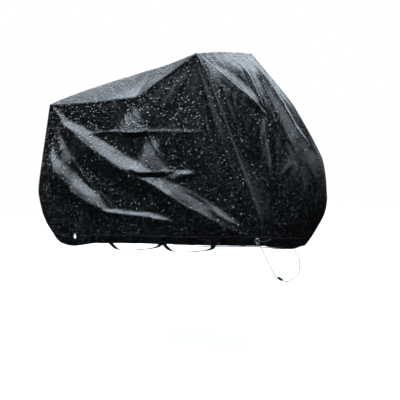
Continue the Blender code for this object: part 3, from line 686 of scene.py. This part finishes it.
def tented(near, far, shares, v):
    """Heights over the top: a slanting ridge stands up from the far left corner to the near right one."""
    near_z, far_z, shares = near[..., 2], far[..., 2], shares[:, None]
    crest_v = 1.0 - shares
    crest = TOP[0].far[2] * crest_v + TOP[-1].near[2] * shares
    stand = np.maximum(crest - (near_z * (1 - crest_v) + far_z * crest_v), 0.0)
    tent = np.minimum(v / np.maximum(crest_v, 1e-6), (1 - v) / np.maximum(1 - crest_v, 1e-6))
    blunt = 1.04 - np.hypot(1.0 - np.minimum(tent, 1.0), RIDGE_SOFT)
    return near_z * (1 - v) + far_z * v + stand * blunt


def gusset_grid():
    v, flat_v = ACROSS[None, :, None], ACROSS[None, :]
    grids = []
    for sections, shares in ((LEFT_END, LEFT_ROWS), (TOP, ALONG), (RIGHT_END, 1.0 - RIGHT_ROWS[::-1])):
        near, middle, far = (at_shares([getattr(s, side) for s in sections], shares)[:, None, :]
                             for side in ("near", "middle", "far"))
        grid = near * (1 - v) * (1 - 2 * v) + middle * 4 * v * (1 - v) + far * v * (2 * v - 1)
        if sections is TOP:
            grid[..., 2] = tented(near, far, shares, flat_v)
        elif sections is RIGHT_END:
            inset = np.minimum(flat_v, 1.0 - flat_v)
            y, z, seed = grid[..., 1], grid[..., 2], PANELS["gusset"].crease_seed
            lift = fold_lift(END_FOLDS, y, z) * smooth(inset / 0.125)
            lift = lift + crease_lift(END_CREASES, y, z, seed) * smooth(inset / 0.05)
            grid = grid + lift[..., None] * END_OUT
        grids.append(grid[1 if grids else 0:])
    return np.concatenate(grids)


def side_grid(name, seam, hem, folds, creases):
    left, top, right = seam_parts(seam)
    right = right[::-1]
    bottom = at_shares(hem, ALONG)
    u, v = ALONG[None, :, None], LEFT_ROWS[:, None, None]
    grid = (bottom[None] * (1 - v) + top[None] * v + left[:, None] * (1 - u) + right[:, None] * u
            - (bottom[0] * (1 - u) + bottom[-1] * u) * (1 - v) - (top[0] * (1 - u) + top[-1] * u) * v)
    u, v = u[..., 0], v[..., 0]
    edge = smooth(np.minimum(u / 0.02, (1 - u) / 0.05)) * smooth(np.minimum(v / 0.10, (1 - v) / 0.03))
    lift = edge * fold_lift(folds, grid[..., 0], grid[..., 2])
    fine_edge = smooth(np.minimum(u, 1 - u) / 0.02) * smooth(np.minimum(v / 0.06, (1 - v) / 0.03))
    lift = lift + fine_edge * crease_lift(creases, grid[..., 0], grid[..., 2], PANELS[name].crease_seed)
    grid[..., 1] -= PANELS[name].outward * lift         # the near side's way out is -Y
    set_seam(grid, seam)
    return grid


def draw_hem(grid):
    """Pull in and ruffle the lowest rows, as the draw cord does. Every panel uses the same rule."""
    foot = grid[0, :, 2][None, :]
    share = np.clip(1.0 - (grid[..., 2] - foot) / DRAWN, 0.0, 1.0)
    share[len(CASING_STEPS):] = 0.0
    middle = np.stack([np.clip(grid[..., 0], -HEM_CORE, HEM_CORE), np.zeros(share.shape), grid[..., 2]], -1)
    inward = unit(middle - grid)
    ruffle = GATHER_DEPTH * np.sin((grid[..., 0] - grid[..., 1]) * math.tau / GATHER_PITCH)
    grid += inward * (HEM_TUCK * share * share + ruffle * share)[..., None]


def sewn_normals(grids):
    """Outward normals of the three panels, with one shared by all that meet at a seam point."""
    near_n, far_n, gusset_n = (
        unit(np.cross(np.gradient(grid, axis=1), np.gradient(grid, axis=0)) * PANELS[name].outward)
        for name, grid in grids.items())
    for side_n, column in ((near_n, 0), (far_n, -1)):
        seam = gusset_n[:, column].copy()
        left, top, right = seam_parts(seam)
        left += side_n[:, 0]
        top += side_n[-1]
        right += side_n[::-1, -1]
        seam = unit(seam)
        gusset_n[:, column] = seam
        set_seam(side_n, seam)
    return {"near": near_n, "far": far_n, "gusset": gusset_n}


def seam_profile(distance):
    """The roll of cloth that a felled seam stands up in, with a dip along its stitch line."""
    roll = 0.0011 * smooth(1.0 - (distance - 0.006) / 0.006)
    dip = 0.0007 * np.exp(-((distance - STITCH_IN) / 0.0016) ** 2)
    return roll - dip


def hem_profile(up):
    """The doubled cloth of the casing, fuller over the cord at its foot, dipping along its stitches."""
    doubled = 0.0010 * smooth((0.0545 - up) / 0.004)
    cord = 0.0022 * smooth(1.0 - abs(up - 0.006) / 0.009)
    dip = 0.0011 * np.exp(-((up - 0.0520) / 0.0022) ** 2)
    return doubled + cord - dip


PULLED_FROM = (0.424, 1.153)  # the crown's corner, which the pulls on the right start from
PULL_SLOPE = -0.72            # slope of the long pulls on the left, in radians


def ridges(x, y, seed):
    """Noise with a crest along each line where it changes sign."""
    return 1.0 - np.abs(grain(x, y, seed))


def wrinkles(across, height, seed):
    """Shallow pulls: along the long folds on the left, and out from the crown on the right."""
    c, s = math.cos(PULL_SLOPE), math.sin(PULL_SLOPE)
    along, over = across * c + height * s, -across * s + height * c
    bend = 0.6 * grain(along * 3.0, over * 3.0, seed + 5)
    long_pulls = ridges(along * 3.2, over * 15.0 + bend * 2.0, seed)
    fine_pulls = ridges(along * 9.0, over * 38.0 + bend * 3.0, seed + 1)
    dx, dz = across - PULLED_FROM[0], height - PULLED_FROM[1]
    turn, far = np.arctan2(dz, dx), np.hypot(dx, dz)
    rays = ridges(turn * 9.0, far * 3.0, seed + 2)
    fine_rays = ridges(turn * 21.0, far * 6.0, seed + 3)
    crown = smooth((across + 0.15) / 0.45)
    spread = np.minimum(far / 0.35, 1.0)
    return ((1 - crown) * (0.0042 * long_pulls + 0.0014 * fine_pulls)
            + crown * spread * (0.0040 * rays + 0.0014 * fine_rays))


def gusset_pulls(grid, run_up, seed):
    """Shallow waves across the left end and the top, and crumples over the right end."""
    y = grid[..., 1]
    waves = ridges(run_up * 5.0, y * 9.0 + grain(run_up * 4.0, y * 4.0, seed + 4), seed)
    pulls = ridges(run_up * 9.0 + y * 9.0, y * 26.0 - run_up * 5.0, seed + 1)
    crumple = ridges(run_up * 17.0 + 5.0 * y, y * 19.0, seed + 2)
    right = smooth((grid[..., 0] - 0.45) / 0.10)
    return ((1 - right) * (0.0050 * waves + 0.0026 * pulls - 0.005)
            + right * (0.0026 * pulls + 0.0026 * crumple - 0.003))


EyeletSpot = namedtuple("EyeletSpot", "centre along up out")


def eyelet_spot(name):
    """An eyelet's centre and its axes along the panel, up it and outwards, from its own node."""
    points = np.array([v.co[:] for v in bpy.data.objects["eyelet_" + name].data.vertices])
    out = np.linalg.svd(points - points.mean(0), full_matrices=False)[2][2]
    out = out if out[1] < 0 else -out
    up = unit(np.array((0.0, 0.0, 1.0)) - out * out[2])
    return EyeletSpot(points.mean(0), np.cross(up, out), up, out)


EYELETS = {name: eyelet_spot(name) for name in ("left", "right")}


def by_patches(grid):
    """One on the open cloth, falling to nothing by the eyelet patches."""
    keep = np.ones(grid.shape[:2])
    for spot in EYELETS.values():
        away = np.linalg.norm(grid - HELD_AT - spot.centre, axis=-1)
        keep *= smooth((away - 0.042) / 0.045)
    return keep


def distance_in(run_across, run_up, hem_last_row):
    """For each point, how far it is in from the nearest sewn edge, and how far up from the hem."""
    sides = np.minimum(run_across, run_across[:, -1:] - run_across)
    from_last = run_up[-1:] - run_up
    if hem_last_row:
        return sides, np.minimum(run_up, from_last)
    return np.minimum(sides, from_last), run_up


def shape_cloth(name, grid, normals):
    """Stand a panel's points out by its pulls, seam rolls, hem casing and gathers."""
    seed = PANELS[name].shape_seed
    run_across, run_up = run_along(grid, 1), run_along(grid)
    side, up = distance_in(run_across, run_up, name == "gusset")
    if name == "gusset":
        pulls = gusset_pulls(grid, run_up, seed)
        gathers = 0.0022 * grain(run_across * 24.0, run_up * 3.0, seed + 9)
    else:
        pulls = wrinkles(grid[..., 0], grid[..., 2], seed) - 0.003
        gathers = 0.0026 * grain(run_across * 24.0, run_up * 6.0, seed + 9)
    open_cloth = smooth((side - 0.010) / 0.05) * smooth((up - 0.052) / 0.05)
    keep = by_patches(grid) if name == "near" else 1.0
    gathers = gathers * smooth(1.0 - up / 0.085) * smooth(side / 0.02)
    lift = (pulls * open_cloth * keep + seam_profile(side) * smooth(up / 0.01)
            + (hem_profile(up) + gathers) * keep)
    return grid + normals * lift[..., None]


def wetness(name, grid, normals):
    """How thick the rain beads are at each point: most on high cloth that faces up."""
    seed = PANELS[name].rain_seed
    start, span = (0.62, 0.55) if name == "gusset" else (0.22, 0.80)
    facing_up = 0.15 + 0.85 * smooth((normals[..., 2] + 0.20) / 0.40)
    high = smooth((grid[..., 2] - start) / span)
    cells = grain(grid[..., 0] * 5.0 + grid[..., 1] * 3.0, grid[..., 2] * 5.0, seed)
    showers = smooth(0.55 + 0.9 * cells)
    if name == "gusset":
        showers = np.maximum(showers, smooth((normals[..., 2] - 0.75) / 0.1))
    return np.clip(facing_up * (0.10 + 0.90 * high) * (0.30 + 0.70 * showers), 0.0, 1.0)


def stitch_lines(name, grid, normals):
    """Lines where a panel is stitched, up both sides and across, each with its points and normals."""
    stitch, hem_row = SEAM_STEPS.index(STITCH_IN), CASING_STEPS.index(CASING_STITCH)
    if name == "gusset":
        up, rows = slice(STITCH_CLEAR, -STITCH_CLEAR), (hem_row, -1 - hem_row)
    else:
        up, rows = slice(STITCH_CLEAR, None), (-1 - stitch, hem_row)
    cuts = [(up, stitch), (up, -1 - stitch)] + [(row, slice(stitch, -stitch)) for row in rows]
    return [(grid[cut], normals[cut]) for cut in cuts]


def face_out(piece, name):
    """Turn a panel's faces outwards, where its grid runs the other way round."""
    if PANELS[name].outward < 0:
        piece.data.flip_normals()


def sheet_piece(name, grid, normals, uv):
    """A closed sheet under a grid of outer points, with its sewn edges set back from the seams."""
    rows, cols = grid.shape[:2]
    shift = np.zeros_like(grid)
    if name != "gusset":
        shift[-1] += unit(grid[-2] - grid[-1])
    shift[:, 0] += unit(grid[:, 1] - grid[:, 0])
    shift[:, -1] += unit(grid[:, -2] - grid[:, -1])
    outer = (grid + shift * SEAM_GAP * EDGE_BACK - HELD_AT).reshape(-1, 3)
    inner = outer - normals.reshape(-1, 3) * SHEET
    n = rows * cols
    index = np.arange(n).reshape(rows, cols)
    quads = grid_faces(rows, cols)
    rim = np.concatenate([index[0, :-1], index[:-1, -1], index[-1, :0:-1], index[:0:-1, 0]])
    after = np.roll(rim, -1)
    faces = np.concatenate([quads, quads[:, ::-1] + n, np.stack([after, rim, rim + n, after + n], 1)])
    flat = np.tile(uv.reshape(-1, 2), (2, 1))
    piece = mesh_piece(PANELS[name].piece, np.concatenate([outer, inner]), faces.tolist(), flat)
    face_out(piece, name)
    return dress(piece, CLOTH, "coated_cloth", PANELS[name].node)


def make_cover():
    """The three panels' pieces with rain on them, and the lines along which each is stitched."""
    gusset = gusset_grid()
    near = side_grid("near", gusset[:, 0], NEAR_HEM, NEAR_FOLDS, NEAR_CREASES)
    far = side_grid("far", gusset[:, -1], FAR_HEM, FAR_FOLDS, FAR_CREASES)
    for grid in (near, far, gusset, gusset[::-1]):
        draw_hem(grid)
    grids = {"near": near, "far": far, "gusset": gusset}
    normals = sewn_normals(grids)
    grids = {name: shape_cloth(name, grid, normals[name]) for name, grid in grids.items()}
    # Seam points stay shared after shaping: each takes the gusset's place.
    set_seam(grids["near"], grids["gusset"][:, 0])
    set_seam(grids["far"], grids["gusset"][:, -1])
    normals = sewn_normals(grids)
    # Each panel has a stretch of UVs of its own, in metres along its threads.
    run = np.stack([run_along(grids["gusset"], 1), run_along(grids["gusset"])], -1)
    uvs = {"near": grids["near"][..., [0, 2]], "far": grids["far"][..., [0, 2]] + 3.0, "gusset": run + 6.0}
    pieces = {name: sheet_piece(name, grid, normals[name], uvs[name]) for name, grid in grids.items()}
    for name, grid in grids.items():
        rain_on(name, grid, wetness(name, grid, normals[name]))
    return pieces, {name: stitch_lines(name, grid, normals[name]) for name, grid in grids.items()}


# ---- Stitches and rain beads, set out with Geometry Nodes

class Group(Nodes):
    """A geometry node group that takes a mesh and named values."""

    def __init__(self, name, inputs):
        super().__init__(bpy.data.node_groups.new(name, "GeometryNodeTree"))
        face = self.tree.interface
        face.new_socket("Geometry", in_out="INPUT", socket_type="NodeSocketGeometry")
        for label, kind, value in inputs:
            socket = face.new_socket(label, in_out="INPUT", socket_type="NodeSocket" + kind)
            if value is not None:
                socket.default_value = value
        face.new_socket("Geometry", in_out="OUTPUT", socket_type="NodeSocketGeometry")
        self.given = self.node("NodeGroupInput").outputs

    def set_out(self, points, material, **values):
        """Put an instance on each point and give out real, smooth meshes in the named material."""
        place = self.node("GeometryNodeInstanceOnPoints", points, **values)
        real = self.node("GeometryNodeRealizeInstances", place.outputs["Instances"])
        soft = self.node("GeometryNodeSetShadeSmooth", real.outputs["Geometry"])
        painted = self.node("GeometryNodeSetMaterial", soft.outputs["Geometry"],
                            Material=self.given[material])
        self.node("NodeGroupOutput", painted.outputs["Geometry"])

    def grow(self, name, guide, values):
        """What the group makes of a guide, as one plain mesh on the cloth. The guide is removed."""
        run = guide.modifiers.new("grow", "NODES")
        run.node_group = self.tree
        for item in self.tree.interface.items_tree:
            if item.in_out == "INPUT" and item.name in values:
                run[item.identifier] = values[item.name]
        mesh = evaluated(guide)
        bpy.data.objects.remove(guide)
        mesh.name = name
        piece = new_piece(name, mesh)
        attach(piece, "root")


def stitch_group():
    group = Group("run of stitches", (("Pitch", "Float", 0.0065), ("Stitch length", "Float", 0.0046),
                                      ("Thread radius", "Float", 0.00055), ("Thread", "Material", None)))
    given = group.given
    curve = group.node("GeometryNodeMeshToCurve", given["Geometry"])
    spaced = group.node("GeometryNodeResampleCurve", curve.outputs["Curve"], mode="LENGTH",
                        Length=given["Pitch"])
    tangent = group.node("GeometryNodeInputTangent").outputs["Tangent"]
    turn = group.node("FunctionNodeAlignRotationToVector", axis="Z", Vector=tangent)
    stitch = group.node("GeometryNodeMeshCylinder", Vertices=6, Radius=given["Thread radius"],
                        Depth=given["Stitch length"])
    group.set_out(spaced.outputs["Curve"], "Thread", Rotation=turn.outputs["Rotation"],
                  Instance=stitch.outputs["Mesh"])
    return group


def bead_group():
    group = Group("scattered rain beads", (
        ("Beads to the square metre", "Float", 5200.0), ("Closest", "Float", 0.0075),
        ("Smallest", "Float", 0.0018), ("Largest", "Float", 0.0050), ("Seed", "Int", 3),
        ("Bead", "Object", None), ("Water", "Material", None)))
    given = group.given
    wet = group.node("GeometryNodeInputNamedAttribute", Name="wet").outputs["Attribute"]
    spread = group.node("GeometryNodeDistributePointsOnFaces", given["Geometry"], distribute_method="POISSON",
                        Distance_Min=given["Closest"], Density_Max=given["Beads to the square metre"],
                        Density_Factor=wet, Seed=given["Seed"])
    size = group.node("FunctionNodeRandomValue", Seed=given["Seed"])
    # Most beads are small: the random share is bent before it is spread over the sizes.
    skew = group.maths("POWER", size.outputs[1], 1.4)
    scale = group.node("ShaderNodeMapRange", skew, To_Min=given["Smallest"], To_Max=given["Largest"])
    bead = group.node("GeometryNodeObjectInfo", given["Bead"])
    group.set_out(spread.outputs["Points"], "Water", Rotation=spread.outputs["Rotation"],
                  Instance=bead.outputs["Geometry"], Scale=scale.outputs["Result"])
    return group


STITCHES = stitch_group()
BEADS = bead_group()


def sew(name, lines, **sizes):
    """Stitches along lines of points, each with the cloth's normal there, as one plain mesh."""
    points, edges = [], []
    for line, normals in lines:
        start = len(points)
        points += [tuple(p) for p in line - HELD_AT + normals * THREAD_UP]
        edges += [(start + k, start + k + 1) for k in range(len(line) - 1)]
    mesh = bpy.data.meshes.new(name)
    mesh.from_pydata(points, edges, [])
    values = {key.replace("_", " "): value for key, value in sizes.items()}
    STITCHES.grow(name, new_piece(name + " guide", mesh), {"Thread": THREAD, **values})


def one_bead():
    """A domed bead one unit in radius, a little sunk into the cloth."""
    steps = 8
    turns = [math.tau * k / steps for k in range(steps)]
    points = [(r * math.cos(turn), r * math.sin(turn), z)
              for r, z in ((1.0, -0.10), (0.93, 0.28), (0.60, 0.55)) for turn in turns]
    points += [(0.0, 0.0, 0.66), (0.0, 0.0, -0.12)]
    faces = band_faces(3, steps)
    faces += [(2 * steps + k, 2 * steps + (k + 1) % steps, 3 * steps) for k in range(steps)]
    faces += [((k + 1) % steps, k, 3 * steps + 1) for k in range(steps)]
    bead = mesh_piece("one bead", points, faces)
    bead.data.materials.append(WATER)
    return bead


def rain_on(name, grid, wet):
    """Beads of rain over one panel's outer face, as thick as wet says at each point."""
    label = "rain_beads_" + name
    points = (grid - HELD_AT).reshape(-1, 3)
    guide = mesh_piece(label + " guide", points, grid_faces(*grid.shape[:2]).tolist())
    face_out(guide, name)
    thickness = guide.data.attributes.new("wet", "FLOAT", "POINT").data
    thickness.foreach_set("value", wet.ravel().astype(np.float32))
    bead = one_bead()
    BEADS.grow(label, guide, {"Seed": PANELS[name].rain_seed, "Bead": bead, "Water": WATER})
    bpy.data.objects.remove(bead)


# ---- Eyelets and their patches

def at_eyelet(name, offsets):
    spot = EYELETS[name]
    o = np.asarray(offsets, float)
    return spot.centre + o[:, :1] * spot.along + o[:, 1:2] * spot.up + o[:, 2:3] * spot.out


def make_eyelet(name):
    """A rolled brass ring, nickel plated, with a flat washer behind."""
    front = [(0.0101, 0.0000), (0.0102, 0.0016), (0.0108, 0.0026), (0.0122, 0.0033), (0.0142, 0.0034),
             (0.0164, 0.0030), (0.0182, 0.0022), (0.0193, 0.0014), (0.0190, 0.0011), (0.0165, 0.0016),
             (0.0120, 0.0014), (0.0113, 0.0005)]
    back = [(0.0113, -0.0010), (0.0185, -0.0012), (0.0192, -0.0017), (0.0180, -0.0021), (0.0112, -0.0021),
            (0.0102, -0.0016)]
    spot = EYELETS[name]
    rolled = turned("rolled_eyelet_" + name, front + back, spot.centre, spot.out, EYELET_SIDES, closed=True)
    dress(rolled, NICKEL, "eyelet_metal", "eyelet_" + name)


def make_patch(name):
    """A square of doubled cloth with rounded corners, soft edges and the eyelet's hole."""
    steps = PATCH_STEPS
    turns = np.linspace(0.0, math.tau, steps, endpoint=False)
    c, s = np.cos(turns), np.sin(turns)
    reach = np.minimum(PATCH_HALF_W / np.maximum(abs(c), 1e-9), PATCH_HALF_H / np.maximum(abs(s), 1e-9))
    reach = np.minimum(reach, (PATCH_HALF_W + PATCH_HALF_H - PATCH_CORNER) / (abs(c) + abs(s)))
    # Each ring's fixed radius, or else its share of the way out to the patch's edge, and its height.
    sections = [(0.0115, None, -0.0010), (0.0, 0.995, -0.0010), (0.0, 1.0, 0.0004), (0.0, 0.975, 0.0012),
                (0.0, 0.86, 0.0014), (0.0, 0.82, 0.0010), (0.0, 0.78, 0.0013), (0.0170, None, 0.0013),
                (0.0115, None, 0.0010)]
    rings = []
    for fixed, share, height in sections:
        radius = np.full(steps, fixed) if share is None else reach * share
        rings.append(at_eyelet(name, np.stack([c * radius, s * radius, np.full(steps, height)], 1)))
    uv = np.tile(np.stack([c, s], 1) * 0.03, (len(rings), 1))
    patch = mesh_piece("patch_" + name, np.vstack(rings), band_faces(len(rings), steps, closed=True), uv)
    dress(patch, CLOTH, "coated_cloth", "eyelet_patch_" + name)
    square = np.stack([c * reach * PATCH_STITCH, s * reach * PATCH_STITCH, np.full(steps, 0.0012)], 1)
    line = at_eyelet(name, np.vstack([square, square[:1]])) + HELD_AT
    sew("patch_stitches_" + name, [(line, np.tile(EYELETS[name].out, (steps + 1, 1)))],
        Pitch=0.0045, Stitch_length=0.0032, Thread_radius=0.0004)


def open_eyelets(cloth):
    """Cut the cloth under both eyelets, so that each hole goes through."""
    for name, spot in EYELETS.items():
        profile = [(PUNCH_R, -PUNCH_REACH), (PUNCH_R, PUNCH_REACH)]
        cutter = turned("punch_" + name, profile, spot.centre, spot.out, PUNCH_SIDES)
        cut = cloth.modifiers.new("punch", "BOOLEAN")
        cut.object = cutter
        cut.operation = "DIFFERENCE"
        mesh = evaluated(cloth)
        cloth.modifiers.clear()
        cloth.data = mesh
        bpy.data.objects.remove(cutter)


pieces, seams = make_cover()
open_eyelets(pieces["near"])
for name, cloth in pieces.items():
    sew("stitches_" + name, seams[name])
for name in EYELETS:
    make_eyelet(name)
    make_patch(name)
for node in ("belly_strap_left", "belly_strap_right"):
    bpy.data.objects[node].material_slots[0].material = WEBBING


# ---- Floor, sky and light

FLOOR_BELOW = 0.45            # how far the floor is under the lowest point
FLOOR_HALF, FLOOR_BACK = 14.0, 22.0
Opening = namedtuple("Opening", "towards start full dark bright")
OVERHEAD = Opening((-0.35, -0.35, 1.0), 0.73, 0.87, 0.015, 4.9)
FAR_OFF = Opening((-0.05, 0.74, 0.67), 0.90, 0.96, 0.0, 2.6)
RIGHT = Opening((0.50, -0.50, 0.70), 0.80, 0.92, 0.0, 2.8)
BEHIND = Opening((-0.643, 0.595, 0.475), 0.90, 0.985, 0.0, 1.0)
SKY_BEHIND = 0.32             # how bright the pale sky behind on the left is


def set_stage():
    z = cad_box[0][2] - FLOOR_BELOW
    corners = [(-FLOOR_HALF, -FLOOR_HALF, z), (FLOOR_HALF, -FLOOR_HALF, z), (FLOOR_HALF, FLOOR_BACK, z),
               (-FLOOR_HALF, FLOOR_BACK, z)]
    floor = mesh_piece("floor", corners, [(0, 1, 2, 3)])
    floor.data.materials.append(Finish("pale floor", (0.86, 0.86, 0.86), 0.9).material)
    floor.visible_glossy = False
    floor.visible_diffuse = False


def set_sky():
    """A bright overcast sky: dark along the horizon, white overhead, and plain white behind the cover."""
    world = bpy.data.worlds.new("overcast")
    bpy.context.scene.world = world
    world.use_nodes = True
    world.node_tree.nodes.clear()
    sky = Nodes(world.node_tree)
    place = sky.node("ShaderNodeTexCoord").outputs["Generated"]

    def opened(opening):
        dot = sky.node("ShaderNodeVectorMath", place, operation="DOT_PRODUCT")
        dot.inputs[1].default_value = opening.towards
        return sky.span(dot.outputs["Value"], *opening[1:])

    # The open sky starts lower in front than behind the far side. There is a soft opening far off
    # behind and one beyond the right-hand end, and the sky is pale behind on the left.
    added = sky.maths("ADD", sky.maths("ADD", opened(OVERHEAD), opened(FAR_OFF)), opened(RIGHT))
    total = sky.node("ShaderNodeMix", opened(BEHIND), A=added, B=SKY_BEHIND)
    seen = sky.node("ShaderNodeBackground", Color=(1.0, 1.0, 1.0, 1.0))
    lit = sky.node("ShaderNodeBackground", Color=(0.78, 0.89, 1.0, 1.0), Strength=total.outputs["Result"])
    mix = sky.node("ShaderNodeMixShader", sky.node("ShaderNodeLightPath").outputs["Is Camera Ray"])
    sky.link(lit.outputs["Background"], mix.inputs[1])
    sky.link(seen.outputs["Background"], mix.inputs[2])
    sky.node("ShaderNodeOutputWorld", mix.outputs["Shader"])


set_stage()
set_sky()
bpy.context.scene.view_settings.view_transform = "Standard"
